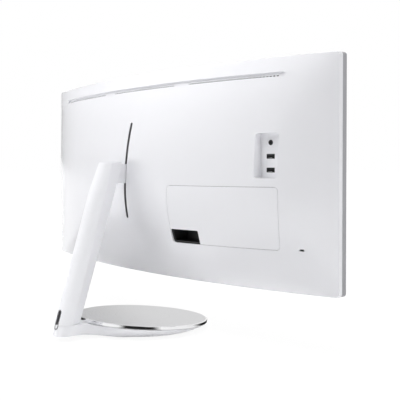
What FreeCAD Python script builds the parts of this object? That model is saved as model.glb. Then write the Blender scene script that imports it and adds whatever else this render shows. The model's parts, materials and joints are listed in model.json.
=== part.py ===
import FreeCAD, Part
import math
import os

from FreeCAD import Placement, Rotation, Vector

# Curved desktop monitor on a leaning one-arm stand.
#
# Millimetres, +Z up. The screen looks towards -Y and the rear cover towards +Y.
# Display pieces are drawn with z = 0 at the middle of the panel and y = 0 at the middle of
# the screen; stand pieces are drawn with z = 0 on the desk. save() moves both into the
# part's frame, whose origin lies on the desk under the middle of the overall depth.

# ------------------------------------------------------------------ driving dimensions
# Display
WIDTH = 808.9
HEIGHT = 371.0
CORNER_RADIUS = 5.0
SCREEN_RADIUS = 1500.0      # the screen is part of a cylinder, hollow towards the viewer
EDGE_DEPTH = 17.6           # screen to rear cover at the rim
SEAM_DEPTH = 8.8            # screen to the seam between front frame and rear cover
SEAM_GAP = 0.3
BULGE = 49.0                # how far the rear cover swells past its rim depth
BULGE_HEIGHT = -27.0        # height of its fullest point, from the middle of the panel
BULGE_POWER = 3.5           # how late the swell falls away towards the sides
BULGE_BLEND = 0.35          # 1 makes soft corners, 0 makes a square-cornered cushion
COVER_WALL = 2.5
RIM_ROUND = 1.4

# Screen stack, each sheet's front and back depth behind the screen surface
FRAME_WALL = 1.6
FRAME_LEDGE = 5.0
LEDGE_DEPTH = 7.2
BEZEL_HEIGHT = 12.5
PANEL_THICKNESS = 1.4
SHEET_GAP = 0.1
DIFFUSER_THICKNESS = 0.7
GUIDE_THICKNESS = 2.8
REFLECTOR_THICKNESS = 0.4
TRAY_THICKNESS = 1.2

# Stand
DISPLAY_HEIGHT = 285.4      # middle of the panel above the desk, at mid travel
LIFT_TRAVEL = 100.0
ARM_LEAN = 0.3067           # how far the arm runs back for each millimetre down
ARM_RADIUS = 20.0           # round rear of the arm
ARM_HEAD_RADIUS = 15.0
ARM_FRONT_HALF = 11.0       # half width of its flat front
ARM_HEAD_FRONT_HALF = 10.0
ARM_HEAD_HEIGHT = DISPLAY_HEIGHT + 19.6
ARM_SHOULDER_HEIGHT = DISPLAY_HEIGHT - 30.4     # the arm keeps its full section up to here
ARM_FOOT_HEIGHT = 9.5
ARM_TOP_Y = 104.5           # ridge line of the arm at the top
ARM_HEAD_DEPTH = 25.5       # ridge line to front face, at the top
ARM_SHOULDER_DEPTH = 25.0
ARM_FOOT_DEPTH = 20.0
ARM_CORNER = 2.0
ARM_WALL = 2.6
SEAM_HEIGHT = 28.0          # joint between the arm and the foot
DISC_RADIUS = 120.7
DISC_Y = 26.4
DISC_Z = 20.6
DISC_TILT = 4.3
DISC_THICKNESS = 2.0
RIM_HEIGHT = 6.0
RIM_WALL = 2.5
PAD_HEIGHT = 2.0

# Tilt hinge and lift
PIVOT_Y = 44.0
PIN_RADIUS = 4.0
PIN_CLEARANCE = 0.05
TONGUE_THICKNESS = 4.4
TONGUE_TOP = DISPLAY_HEIGHT + 16.9
TONGUE_BOTTOM = DISPLAY_HEIGHT - 17.9
GUSSET_RADIUS = 11.0        # hollow round under the tongue, where it leaves the arm
EYE_RADIUS = 8.0
EAR_THICKNESS = 5.0
WASHER_THICKNESS = 1.7
ROD_RADIUS = 4.0
ROD_X = 34.0
ROD_Y = 28.0
ROD_HALF_LENGTH = LIFT_TRAVEL / 2 + 66.0
ROD_CLEARANCE = 0.05

# Slot for the tongue
SLOT_WIDTH = 6.6
SLOT_TILT_ROOM = 40.7       # length the tongue sweeps when the display tilts
SLOT_LENGTH = LIFT_TRAVEL + TONGUE_TOP - TONGUE_BOTTOM + SLOT_TILT_ROOM
SLOT_CENTRE = 5.9
TRIM_LIP = 0.5
TRIM_DEPTH = 5.5

# Vent groove along the top
GROOVE_LENGTH = WIDTH - 163.0
GROOVE_HEIGHT = 8.0
GROOVE_Z = HEIGHT / 2 - 29.0
GROOVE_DEPTH = 3.0
VENT_GROUP_PITCH = 0.34 * GROOVE_LENGTH
VENT_GROUP_LENGTH = VENT_GROUP_PITCH - 36.5
VENT_PITCH = 6.1
VENT_LENGTH = 3.6
VENT_HEIGHT = 1.6

# Ports cover and bay
DOOR_LEFT = 81.5 - WIDTH / 2
DOOR_RIGHT = DOOR_LEFT + 207.5
DOOR_BOTTOM = 68.1 - HEIGHT / 2
DOOR_TOP = DOOR_BOTTOM + 97.5
DOOR_CORNER = 6.0
DOOR_GAP = 0.5
DOOR_THICKNESS = 2.1
DOOR_SEAT = 3.0             # width of the ledge the cover lies on
NOTCH_WIDTH = 62.0
NOTCH_HEIGHT = 23.0
BAY_WALL = 2.0
BAY_DEPTH = 22.0            # screen to the floor of the bay

# Side ports
RECESS_LEFT = DOOR_LEFT
RECESS_RIGHT = RECESS_LEFT + 37.0
RECESS_BOTTOM = DOOR_TOP + 14.2
RECESS_TOP = RECESS_BOTTOM + 70.3
RECESS_CORNER = 4.0
RECESS_DEPTH = 35.0         # screen to the floor of the recess
RECESS_WALL = 1.8
PORT_PITCH = 21.5
FIRST_PORT_Z = RECESS_BOTTOM + 12.6
USB_WIDTH = 14.4
USB_HEIGHT = 7.0
USB_LENGTH = 13.0
USB_SHELL = 0.5
JACK_RADIUS = 4.0
JACK_BORE = 1.8
JACK_LENGTH = 14.0
PORT_FIT = 0.3

# Lock slot and control stick
LOCK_X = DOOR_LEFT - 32.0
LOCK_Z = DOOR_BOTTOM + 1.7
LOCK_WIDTH = 7.0
LOCK_HEIGHT = 3.0
STICK_X = WIDTH / 2 - 28.5
STICK_Z = 42.0 - HEIGHT / 2
DIMPLE_RADIUS = 12.5
DIMPLE_DEPTH = 2.4
STICK_HOLE = 7.2
STICK_RADIUS = 5.6
STICK_PIVOT_DEPTH = 14.0
STICK_PROUD = 0.4

# ------------------------------------------------------------------ derived values
FOOT_REAR_Y = ARM_TOP_Y + ARM_LEAN * (ARM_HEAD_HEIGHT - ARM_FOOT_HEIGHT) + ARM_RADIUS
EDGE_Y = math.sqrt(SCREEN_RADIUS ** 2 - (WIDTH / 2) ** 2) - SCREEN_RADIUS
DISC_FRONT_Y = DISC_Y - DISC_RADIUS * math.cos(math.radians(DISC_TILT))
FRAME_SHIFT = -(FOOT_REAR_Y + min(EDGE_Y, DISC_FRONT_Y)) / 2
FAR = 400.0                 # past every face of the display


def front_y(x):
    """The screen surface at x."""
    return math.sqrt(SCREEN_RADIUS ** 2 - x * x) - SCREEN_RADIUS


def swell(x, z):
    """How far the rear cover stands behind its rim depth."""
    across = 1 - abs(2 * x / WIDTH) ** BULGE_POWER
    reach = HEIGHT / 2 + math.copysign(BULGE_HEIGHT, z - BULGE_HEIGHT)
    up = 1 - ((z - BULGE_HEIGHT) / reach) ** 2
    both = across * up
    return BULGE * both / (BULGE_BLEND + (1 - BULGE_BLEND) * (across + up - both))


def rear_depth(x, z):
    return EDGE_DEPTH + swell(x, z)


def rear_solid():
    """Everything in front of the rear surface."""
    margin = 8.0
    columns = 34
    rows = 18
    grid = []
    for i in range(columns + 1):
        x = (WIDTH / 2 + margin) * (2 * i / columns - 1)
        column = []
        for j in range(rows + 1):
            z = (HEIGHT / 2 + margin) * (2 * j / rows - 1)
            column.append(Vector(x, front_y(x) + rear_depth(x, z), z))
        grid.append(column)
    surface = Part.BSplineSurface()
    surface.interpolate(grid)
    return surface.toShape().extrude(Vector(0, -2 * BULGE - FAR / 2, 0))


REAR = rear_solid()


def under(depth):
    """Everything more than depth in front of the rear surface."""
    return REAR.translated(Vector(0, -depth, 0))


def behind(depth):
    """The cylinder to cut away to leave what lies behind this depth from the screen."""
    return Part.makeCylinder(SCREEN_RADIUS + depth, 2 * FAR, Vector(0, -SCREEN_RADIUS, -FAR))


def outline(left, right, bottom, top, radius, grow=0.0):
    """A rounded rectangle seen from the rear, carried through the whole depth."""
    left, right, bottom, top = left - grow, right + grow, bottom - grow, top + grow
    radius = max(radius + grow, 0.01)
    radius = min(radius, (right - left) / 2 - 0.005, (top - bottom) / 2 - 0.005)
    block = Part.makeBox(right - left, FAR, top - bottom, Vector(left, -FAR / 2, bottom))
    edges = [e for e in block.Edges if e.BoundBox.YLength > FAR / 2]
    return block.makeFillet(radius, edges)


def panel_outline(inset):
    return outline(-WIDTH / 2, WIDTH / 2, -HEIGHT / 2, HEIGHT / 2, CORNER_RADIUS, -inset)


def skin(shape, outer, inner):
    """The part of shape between two depths under the rear surface."""
    return shape.common(under(outer)).cut(under(inner))


def sheet(shape, near, far):
    """The part of shape between two depths behind the screen."""
    return shape.common(behind(far)).cut(behind(near))


def pocket(shape, depth):
    """The part of shape from this depth behind the screen out past the rear surface."""
    return shape.cut(behind(depth))


def at_panel(shape, x, z, depth):
    """Move a shape drawn with y pointing out of the rear to a place behind the screen."""
    radius = SCREEN_RADIUS + depth
    angle = math.asin(x / radius)
    place = Vector(x, radius * math.cos(angle) - SCREEN_RADIUS, z)
    turn = Rotation(Vector(0, 0, 1), -math.degrees(angle))
    moved = shape.copy()
    moved.Placement = Placement(place, turn).multiply(moved.Placement)
    return moved


def box(x0, x1, y0, y1, z0, z1):
    return Part.makeBox(x1 - x0, y1 - y0, z1 - z0, Vector(x0, y0, z0))


def bar_x(radius, x0, x1, y, z):
    """A round bar along X."""
    return Part.makeCylinder(radius, x1 - x0, Vector(x0, y, z), Vector(1, 0, 0))


def bar_y(radius, y0, y1, x=0.0, z=0.0):
    return Part.makeCylinder(radius, y1 - y0, Vector(x, y0, z), Vector(0, 1, 0))


def bar_z(radius, z0, z1, x, y):
    return Part.makeCylinder(radius, z1 - z0, Vector(x, y, z0))


def whole(shape):
    """The one solid that a boolean leaves, out of its compound."""
    return shape.Solids[0] if len(shape.Solids) == 1 else shape


def fused(shapes):
    return whole(shapes[0].multiFuse(shapes[1:]).removeSplitter())


def cut(shape, tools):
    for tool in tools:
        shape = whole(shape.cut(tool))
    return shape


os.makedirs("parts", exist_ok=True)


def save(node, shape, lift=0.0):
    if not shape.isValid() or shape.Volume <= 0:
        raise ValueError("bad solid in " + node)
    shape = shape.translated(Vector(0, FRAME_SHIFT, lift))
    solids = shape.Solids
    shape = solids[0] if len(solids) == 1 else Part.makeCompound(solids)
    shape.exportStep("parts/" + node + ".step")


def save_display(node, shape):
    save(node, shape, DISPLAY_HEIGHT)


# ------------------------------------------------------------------ screen stack
def screen_outline(edge_gap):
    """The lit area: inside the frame and above the bottom bezel."""
    side = WIDTH / 2 - FRAME_WALL - edge_gap
    bottom = -HEIGHT / 2 + FRAME_WALL + BEZEL_HEIGHT + edge_gap
    top = HEIGHT / 2 - FRAME_WALL - edge_gap
    return outline(-side, side, bottom, top, CORNER_RADIUS - FRAME_WALL)


def front_frame():
    ring = sheet(panel_outline(0).cut(panel_outline(FRAME_WALL)), 0, SEAM_DEPTH)
    inner = panel_outline(FRAME_WALL + FRAME_LEDGE)
    ledge = sheet(panel_outline(FRAME_WALL / 2).cut(inner), LEDGE_DEPTH, SEAM_DEPTH)
    return fused([ring, ledge])


def bottom_bezel():
    side = WIDTH / 2 - FRAME_WALL - SHEET_GAP
    bottom = -HEIGHT / 2 + FRAME_WALL + SHEET_GAP
    top = bottom + BEZEL_HEIGHT - SHEET_GAP
    strip = outline(-side, side, bottom, top, CORNER_RADIUS - FRAME_WALL)
    return sheet(strip, 0.2, LEDGE_DEPTH - SHEET_GAP)


def screen_stack():
    gap = SHEET_GAP
    layers = [("lcd_panel", 0.3, PANEL_THICKNESS),
              ("diffuser_sheet", 1.2, DIFFUSER_THICKNESS),
              ("light_guide", 1.2, GUIDE_THICKNESS),
              ("reflector_sheet", 1.2, REFLECTOR_THICKNESS),
              ("panel_tray", 0.8, TRAY_THICKNESS)]
    near = 0.0
    for name, edge_gap, thickness in layers:
        save_display(name, sheet(screen_outline(edge_gap), near, near + thickness))
        near += thickness + gap
    return near - gap


save_display("front_frame", front_frame())
save_display("bottom_bezel", bottom_bezel())
TRAY_BACK = screen_stack()


# ------------------------------------------------------------------ rear cover
def slot_outline(grow=0.0):
    half = SLOT_WIDTH / 2
    end = SLOT_LENGTH / 2
    return outline(-half, half, SLOT_CENTRE - end, SLOT_CENTRE + end, half, grow)


def groove_outline(grow=0.0):
    end = GROOVE_LENGTH / 2
    half = GROOVE_HEIGHT / 2
    return outline(-end, end, GROOVE_Z - half, GROOVE_Z + half, half, grow)


def vent_slots():
    """Three groups of short slots along the lower half of the groove."""
    count = int(VENT_GROUP_LENGTH / VENT_PITCH)
    z = GROOVE_Z - GROOVE_HEIGHT / 4
    slots = []
    for group in (-1, 0, 1):
        for i in range(count):
            x = group * VENT_GROUP_PITCH + (i - (count - 1) / 2) * VENT_PITCH
            slots.append(box(x - VENT_LENGTH / 2, x + VENT_LENGTH / 2, -FAR / 2, FAR / 2,
                             z - VENT_HEIGHT / 2, z + VENT_HEIGHT / 2))
    return slots


def door_outline(grow=0.0):
    return outline(DOOR_LEFT, DOOR_RIGHT, DOOR_BOTTOM, DOOR_TOP, DOOR_CORNER, grow)


def recess_outline(grow=0.0):
    return outline(RECESS_LEFT, RECESS_RIGHT, RECESS_BOTTOM, RECESS_TOP, RECESS_CORNER, grow)


def lock_outline(grow=0.0):
    return outline(LOCK_X - LOCK_WIDTH / 2, LOCK_X + LOCK_WIDTH / 2,
                   LOCK_Z - LOCK_HEIGHT / 2, LOCK_Z + LOCK_HEIGHT / 2, 0.6, grow)


def side_port_heights():
    return [FIRST_PORT_Z, FIRST_PORT_Z + PORT_PITCH, FIRST_PORT_Z + 2 * PORT_PITCH]


def side_port_holes():
    low, middle, top = side_port_heights()
    w, h = USB_WIDTH / 2 + PORT_FIT, USB_HEIGHT / 2 + PORT_FIT
    holes = [box(-w, w, -FAR / 8, FAR / 8, z - h, z + h) for z in (low, middle)]
    holes.append(bar_y(JACK_RADIUS + PORT_FIT, -FAR / 8, FAR / 8, 0, top))
    return [at_panel(hole, SIDE_PORT_X, 0, RECESS_DEPTH) for hole in holes]


SIDE_PORT_X = (RECESS_LEFT + RECESS_RIGHT) / 2
STICK_DROP = rear_depth(STICK_X, STICK_Z) - STICK_PIVOT_DEPTH


def stick_place(shape):
    """Local y = 0 at the stick's pivot, y pointing out of the rear cover."""
    return at_panel(shape, STICK_X, STICK_Z, STICK_PIVOT_DEPTH)


def stick_dimple():
    cone = Part.makeCone(STICK_HOLE, DIMPLE_RADIUS + DIMPLE_RADIUS - STICK_HOLE, 2 * DIMPLE_DEPTH,
                         Vector(0, -DIMPLE_DEPTH, 0), Vector(0, 1, 0))
    hole = bar_y(STICK_HOLE, -3 * DIMPLE_DEPTH, 0)
    return stick_place(fused([cone, hole]).translated(Vector(0, STICK_DROP, 0)))


def rounded_rim(body):
    """Round the edge where the rear surface meets the sides."""
    edges = []
    for edge in body.Edges:
        middle = edge.valueAt((edge.FirstParameter + edge.LastParameter) / 2)
        if abs(middle.y - front_y(middle.x) - rear_depth(middle.x, middle.z)) < RIM_ROUND / 4:
            edges.append(edge)
    return body.makeFillet(RIM_ROUND, edges)


def rear_cover():
    blank = whole(panel_outline(0).common(under(0)).cut(behind(SEAM_DEPTH + SEAM_GAP)))
    body = rounded_rim(blank)
    hollow = panel_outline(COVER_WALL).common(under(COVER_WALL))
    shell = body.cut(hollow)
    groove_back = skin(groove_outline(COVER_WALL), COVER_WALL / 2, GROOVE_DEPTH + COVER_WALL)
    boss = stick_place(bar_y(DIMPLE_RADIUS + 2, -FAR / 2, FAR / 2))
    dimple_back = skin(boss, COVER_WALL / 2, COVER_WALL + DIMPLE_DEPTH)
    recess_back = pocket(recess_outline(RECESS_WALL).common(under(COVER_WALL / 2)),
                         RECESS_DEPTH - RECESS_WALL)
    shell = fused([shell, groove_back, dimple_back, recess_back])
    groove = groove_outline().cut(under(GROOVE_DEPTH))
    tools = [groove, slot_outline(), door_outline(DOOR_GAP), pocket(recess_outline(), RECESS_DEPTH),
             lock_outline(), stick_dimple()]
    return cut(shell, tools + side_port_holes() + [Part.makeCompound(vent_slots())])


save_display("rear_cover", rear_cover())


def slot_trim():
    lip = skin(slot_outline(-0.05).cut(slot_outline(-TRIM_LIP)), 0.6, TRIM_DEPTH)
    return lip


save_display("slot_trim", slot_trim())

# ------------------------------------------------------------------ ports bay and its cover
CONNECTORS = [              # name, place along the bay, width, depth
    ("dc_inlet", 14.0, 11.0, 11.0),
    ("video_socket_1", 38.0, 15.0, 6.0),
    ("video_socket_2", 62.0, 15.0, 6.0),
    ("video_socket_3", 87.0, 17.0, 6.4),
    ("usb_b_socket", 112.0, 12.0, 11.0),
    ("usb_a_socket", 136.0, 14.4, 7.0),
]
CONNECTOR_LENGTH = 12.0
CONNECTOR_SHELL = 0.6
BOARD_DEPTH = BAY_DEPTH
BOARD_THICKNESS = 1.6
BOARD_LEFT = DOOR_LEFT + 43.0
BOARD_RIGHT = DOOR_RIGHT - 2.5
BOARD_X = (BOARD_LEFT + BOARD_RIGHT) / 2
BOARD_TOP = DOOR_TOP + 94.0
BAY_TOP = DOOR_TOP - DOOR_SEAT


def bay_outline(grow=0.0):
    return door_outline(grow - DOOR_SEAT)


def connector_places():
    """Each socket's name, middle, width and depth; they sit on the board and face down."""
    for name, along, width, depth in CONNECTORS:
        x = BOARD_LEFT + 2 + along
        yield name, x, width, depth


def socket_down(width, depth):
    """A socket shell seen from below, with the tongue that carries its contacts."""
    z0, z1 = 0.0, CONNECTOR_LENGTH
    shell = box(-width / 2, width / 2, 0, depth, z0, z1)
    t = CONNECTOR_SHELL
    shell = shell.cut(box(-width / 2 + t, width / 2 - t, t, depth - t, z0, z1 - 1.2))
    blade = box(-width / 2 + 2.5, width / 2 - 2.5, depth / 2 - 0.6, depth / 2 + 0.6, 1.5, z1 - 1.0)
    return fused([shell, blade])


def dc_socket(width, depth):
    body = box(-width / 2, width / 2, 0, depth, 0, CONNECTOR_LENGTH)
    body = body.cut(bar_z(3.2, 0, CONNECTOR_LENGTH - 2, 0, depth / 2))
    return fused([body, bar_z(1.0, 1.0, CONNECTOR_LENGTH - 1, 0, depth / 2)])


def board_place(shape, x, z, rise=0.0):
    """Put a shape on the board's rear face, rise above it."""
    moved = shape.translated(Vector(x - BOARD_X, 0, z))
    return at_panel(moved, BOARD_X, 0, BOARD_DEPTH + BOARD_THICKNESS + rise)


def port_bay():
    walls = bay_outline(BAY_WALL).cut(bay_outline()).common(under(COVER_WALL + SEAM_GAP))
    walls = walls.cut(behind(BAY_DEPTH - BAY_WALL))
    floor = sheet(bay_outline(BAY_WALL / 2), BAY_DEPTH - BAY_WALL, BAY_DEPTH)
    rim = door_outline(4.0).cut(bay_outline(BAY_WALL / 2))
    flange = skin(rim, COVER_WALL + SEAM_GAP, COVER_WALL + SEAM_GAP + 1.6)
    flange = flange.cut(recess_outline(RECESS_WALL + 0.2))
    tub = fused([walls, floor, flange])
    holes = []
    for name, x, width, depth in connector_places():
        hole = box(-width / 2 - PORT_FIT, width / 2 + PORT_FIT, -PORT_FIT, depth + PORT_FIT,
                   BAY_TOP - 1, BAY_TOP + BAY_WALL + 1)
        holes.append(board_place(hole, x, 0))
    return cut(tub, holes)


def ports_cover():
    """The snap-on cover, with a notch at one corner for the cables."""
    door = skin(door_outline(), 0, DOOR_THICKNESS)
    notch = outline(DOOR_RIGHT - NOTCH_WIDTH, DOOR_RIGHT + 20, DOOR_BOTTOM - 20,
                    DOOR_BOTTOM + NOTCH_HEIGHT, 2.0)
    door = door.cut(notch)
    ribs = []
    inner_top = BAY_TOP - 0.4
    inner_bottom = DOOR_BOTTOM + DOOR_SEAT + 0.4
    for share in (0.12, 0.5, 0.88):
        x = DOOR_LEFT + share * (DOOR_RIGHT - DOOR_LEFT)
        ribs.append(box(x - 5, x + 5, -FAR / 2, FAR / 2, inner_top - 1.4, inner_top))
    for share in (0.12, 0.5):
        x = DOOR_LEFT + share * (DOOR_RIGHT - DOOR_LEFT)
        ribs.append(box(x - 5, x + 5, -FAR / 2, FAR / 2, inner_bottom, inner_bottom + 1.4))
    tabs = [skin(rib, DOOR_THICKNESS / 2, DOOR_THICKNESS + 6.0) for rib in ribs]
    return fused([door] + tabs)


save_display("port_bay", port_bay())
save_display("ports_cover", ports_cover())
for connector, place, width, depth in connector_places():
    socket = dc_socket(width, depth) if connector == "dc_inlet" else socket_down(width, depth)
    save_display(connector, board_place(socket, place, BAY_TOP + 0.2, 0.02))

half_board = (BOARD_RIGHT - BOARD_LEFT) / 2
board_bottom = BAY_TOP + BAY_WALL + 0.3
main_board = box(-half_board, half_board, -BOARD_THICKNESS, 0, board_bottom, BOARD_TOP)
posts = []
for x in (8 - half_board, half_board - 8):
    for z in (board_bottom + 8, BOARD_TOP - 8):
        posts.append(bar_y(3.0, -FAR / 8, -BOARD_THICKNESS / 2, x, z))
main_board = board_place(fused([main_board] + posts), BOARD_X, 0)
save_display("main_board", main_board.cut(behind(TRAY_BACK + 0.02)))

# ------------------------------------------------------------------ side ports
def usb_a_socket():
    """Open towards +Y, its mouth at y = 0."""
    w, h, t = USB_WIDTH / 2, USB_HEIGHT / 2, USB_SHELL
    shell = box(-w, w, -USB_LENGTH, 0, -h, h)
    shell = shell.cut(box(-w + t, w - t, 1 - USB_LENGTH, 0, -h + t, h - t))
    blade = box(-w + 1.7, w - 1.7, 0.5 - USB_LENGTH, -0.8, 0.2, 2.0)
    return fused([shell, blade])


def side_place(shape, z):
    return at_panel(shape, SIDE_PORT_X, z, RECESS_DEPTH)


low_port, middle_port, jack_z = side_port_heights()
save_display("usb_a_side_lower", side_place(usb_a_socket(), low_port))
save_display("usb_a_side_upper", side_place(usb_a_socket(), middle_port))
jack = bar_y(JACK_RADIUS, -JACK_LENGTH, 0).cut(bar_y(JACK_BORE, -JACK_LENGTH + 1, 0))
save_display("headphone_jack", side_place(jack, jack_z))
side_board = box(-14, 14, -JACK_LENGTH - 1.6, -JACK_LENGTH, low_port - 10, jack_z + 10)
carriers = [box(-6, 6, -JACK_LENGTH, -USB_LENGTH, z - 3, z + 3) for z in (low_port, middle_port)]
save_display("side_port_board", side_place(fused([side_board] + carriers), 0))

# ------------------------------------------------------------------ lock slot plate
lock_plate = skin(outline(LOCK_X - 9, LOCK_X + 9, LOCK_Z - 7, LOCK_Z + 7, 2),
                  COVER_WALL + SEAM_GAP / 2, COVER_WALL + 2.0)
save_display("lock_plate", lock_plate.cut(lock_outline(0.1)))

# ------------------------------------------------------------------ control stick
GIMBAL_RADIUS = 6.0
GIMBAL_WALL = 1.2
GIMBAL_HEIGHT = 1.6
GIMBAL_PIN = 0.5
GIMBAL_GAP = 0.35
SWITCH_WALL = 1.0


def gimbal_ring():
    half = GIMBAL_HEIGHT / 2
    ring = bar_y(GIMBAL_RADIUS, -half, half).cut(bar_y(GIMBAL_RADIUS - GIMBAL_WALL, -half, half))
    reach = GIMBAL_RADIUS + SWITCH_WALL + GIMBAL_GAP
    pins = bar_x(GIMBAL_PIN, -reach, reach, 0, 0)
    pins = pins.cut(bar_y(GIMBAL_RADIUS - GIMBAL_WALL / 2, -half, half))
    holes = bar_z(GIMBAL_PIN + PIN_CLEARANCE, -reach, reach, 0, 0)
    return fused([ring, pins]).cut(holes)


def stick_housing():
    """A square switch body on its board, with two ears that hold the gimbal's pins."""
    inner = GIMBAL_RADIUS + GIMBAL_GAP
    outer = inner + SWITCH_WALL
    floor = -4.0
    body = box(-outer, outer, floor, GIMBAL_HEIGHT, -outer, outer)
    body = body.cut(box(-inner, inner, floor + SWITCH_WALL, GIMBAL_HEIGHT, -inner, inner))
    body = body.cut(bar_x(GIMBAL_PIN + PIN_CLEARANCE, -outer - 1, outer + 1, 0, 0))
    board = box(-outer - 5, outer + 5, floor - 1.2, floor, -outer - 8, outer + 8)
    feet = [bar_y(2.0, -FAR / 16, floor, 0, z) for z in (-outer - 5, outer + 5)]
    return fused([body, board] + feet)


def stick_cradle():
    """The sleeve that tilts in the gimbal and guides the stem."""
    inner = GIMBAL_RADIUS - GIMBAL_WALL - GIMBAL_GAP
    sleeve = bar_y(3.0, -1.5, 1.5).cut(bar_y(1.7 + PIN_CLEARANCE, -1.5, 1.5))
    reach = inner + GIMBAL_GAP + GIMBAL_WALL - 0.2
    pins = bar_z(GIMBAL_PIN, -reach, reach, 0, 0).cut(bar_y(2.4, -1.5, 1.5))
    return fused([sleeve, pins])


def stick_knob():
    """The cap and the stem that runs through the sleeve."""
    top = STICK_DROP - DIMPLE_DEPTH + STICK_PROUD
    cap = bar_y(STICK_RADIUS, top - 2.6, top)
    cap = cap.makeFillet(0.7, [e for e in cap.Edges if e.BoundBox.YMin > top - 0.01])
    dish = Part.makeSphere(18.0, Vector(0, top + 18.0 - 0.6, 0))
    stem = bar_y(1.7, -1.7, top - 2.0)
    return fused([cap.cut(dish), stem])


save_display("stick_housing", stick_place(stick_housing()).cut(behind(TRAY_BACK + 0.02)))
save_display("stick_gimbal", stick_place(gimbal_ring()))
save_display("stick_cradle", stick_place(stick_cradle()))
save_display("stick_knob", stick_place(stick_knob()))

# ------------------------------------------------------------------ lift
FRAME_HALF = 46.0
FRAME_NEAR = 8.0
FRAME_PLATE = 2.5
BLOCK_HEIGHT = 10.0
CARRIAGE_HALF = 43.0
CARRIAGE_TALL = 24.0
CARRIAGE_NEAR = 20.0
CARRIAGE_FAR = 36.0
BUSH_WALL = 2.4
DRUM_RADIUS = 9.0
DRUM_X = 22.0
EAR_INNER = TONGUE_THICKNESS / 2 + PIN_CLEARANCE + WASHER_THICKNESS + 0.05


def lift_frame():
    end = ROD_HALF_LENGTH
    plate = box(-FRAME_HALF, FRAME_HALF, FRAME_NEAR, FRAME_NEAR + FRAME_PLATE, -end, end)
    window = box(-18, 18, 0, FAR / 4, -end + 24, end - 24)
    parts = [plate.cut(window)]
    for side in (-1, 1):
        wall = box(-FRAME_PLATE / 2, FRAME_PLATE / 2, FRAME_NEAR, ROD_Y, -end, end)
        parts.append(wall.translated(Vector(side * (FRAME_HALF - FRAME_PLATE / 2), 0, 0)))
        z0 = side * (end - BLOCK_HEIGHT / 2) - BLOCK_HEIGHT / 2
        block = box(-FRAME_HALF, FRAME_HALF, FRAME_NEAR, ROD_Y + 7, z0, z0 + BLOCK_HEIGHT)
        parts.append(block)
        foot = box(-FRAME_HALF + 4, FRAME_HALF - 4, TRAY_BACK, FRAME_NEAR, z0, z0 + BLOCK_HEIGHT)
        parts.append(foot.cut(behind(TRAY_BACK)))
        ear = box(-2, 2, FRAME_NEAR, 22 + DRUM_RADIUS / 2, end, end + 13)
        parts.append(ear.translated(Vector(side * (DRUM_X - 11), 0, 0)))
    frame = fused(parts)
    rods = [bar_z(ROD_RADIUS, -end, end, side * ROD_X, ROD_Y) for side in (-1, 1)]
    shafts = [bar_x(2.0, -FAR / 8, FAR / 8, 22, end + 10)]
    return cut(frame, rods + shafts)


def spring_drum(side):
    x = side * DRUM_X
    z = ROD_HALF_LENGTH + 10
    drum = bar_x(DRUM_RADIUS, x - 8, x + 8, 22, z)
    drum = drum.cut(bar_x(DRUM_RADIUS - 1.2, x + 6, x + 8, 22, z))
    shaft = bar_x(2.0, min(x - side * 13, x), max(x - side * 13, x), 22, z)
    return fused([drum, shaft])


def carriage_block():
    block = box(-CARRIAGE_HALF, CARRIAGE_HALF, CARRIAGE_NEAR, CARRIAGE_FAR,
                -CARRIAGE_TALL, CARRIAGE_TALL)
    window = box(-10, 10, 0, CARRIAGE_NEAR + 8, -CARRIAGE_TALL + 6, CARRIAGE_TALL - 6)
    pieces = [block.cut(window)]
    for side in (-1, 1):
        x0 = min(side * EAR_INNER, side * (EAR_INNER + EAR_THICKNESS))
        ear = bar_x(EYE_RADIUS, x0, x0 + EAR_THICKNESS, PIVOT_Y, 0)
        web = box(x0, x0 + EAR_THICKNESS, CARRIAGE_FAR - 1, PIVOT_Y, -EYE_RADIUS, EYE_RADIUS)
        pieces += [ear, web]
    bore = ROD_RADIUS + BUSH_WALL
    tools = [bar_z(bore, -CARRIAGE_TALL, CARRIAGE_TALL, side * ROD_X, ROD_Y) for side in (-1, 1)]
    tools.append(bar_x(PIN_RADIUS, -FAR / 8, FAR / 8, PIVOT_Y, 0))
    return cut(fused(pieces), tools)


def guide_bush(side):
    x = side * ROD_X
    bush = bar_z(ROD_RADIUS + BUSH_WALL, -CARRIAGE_TALL, CARRIAGE_TALL, x, ROD_Y)
    bush = bush.cut(bar_z(ROD_RADIUS + ROD_CLEARANCE, -CARRIAGE_TALL, CARRIAGE_TALL, x, ROD_Y))
    return bush


def hinge_pin():
    end = EAR_INNER + EAR_THICKNESS
    pin = bar_x(PIN_RADIUS, -end, end, PIVOT_Y, 0)
    heads = [bar_x(PIN_RADIUS + 2, end, end + 2, PIVOT_Y, 0),
             bar_x(PIN_RADIUS + 2, -end - 2, -end, PIVOT_Y, 0)]
    return fused([pin] + heads)


def friction_washer(side):
    near = side * (TONGUE_THICKNESS / 2 + PIN_CLEARANCE)
    far = side * EAR_INNER
    ring = bar_x(EYE_RADIUS - 0.5, min(near, far), max(near, far), PIVOT_Y, 0)
    return ring.cut(bar_x(PIN_RADIUS, -FAR / 8, FAR / 8, PIVOT_Y, 0))


save_display("lift_frame", lift_frame())
for side, name in ((-1, "left"), (1, "right")):
    rod = bar_z(ROD_RADIUS, -ROD_HALF_LENGTH, ROD_HALF_LENGTH, side * ROD_X, ROD_Y)
    save_display("guide_rod_" + name, rod)
    save_display("spring_drum_" + name, spring_drum(side))
    save_display("guide_bush_" + name, guide_bush(side))
    save_display("friction_washer_" + name, friction_washer(side))
save_display("carriage_block", carriage_block())
save_display("hinge_pin", hinge_pin())

# ------------------------------------------------------------------ electronics and sound
POWER_X = 0.16 * WIDTH
POWER_HALF = 54.0
POWER_BOTTOM = -44.0
POWER_TOP = 64.0
POWER_BOARD_LIFT = 6.0      # board above the tray
CAGE_DEPTH = 26.0
CAGE_WALL = 1.2
SPEAKER_X = 0.285 * WIDTH
SPEAKER_Z = 39.5 - HEIGHT / 2
SPEAKER_DEPTH = 14.0


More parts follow.
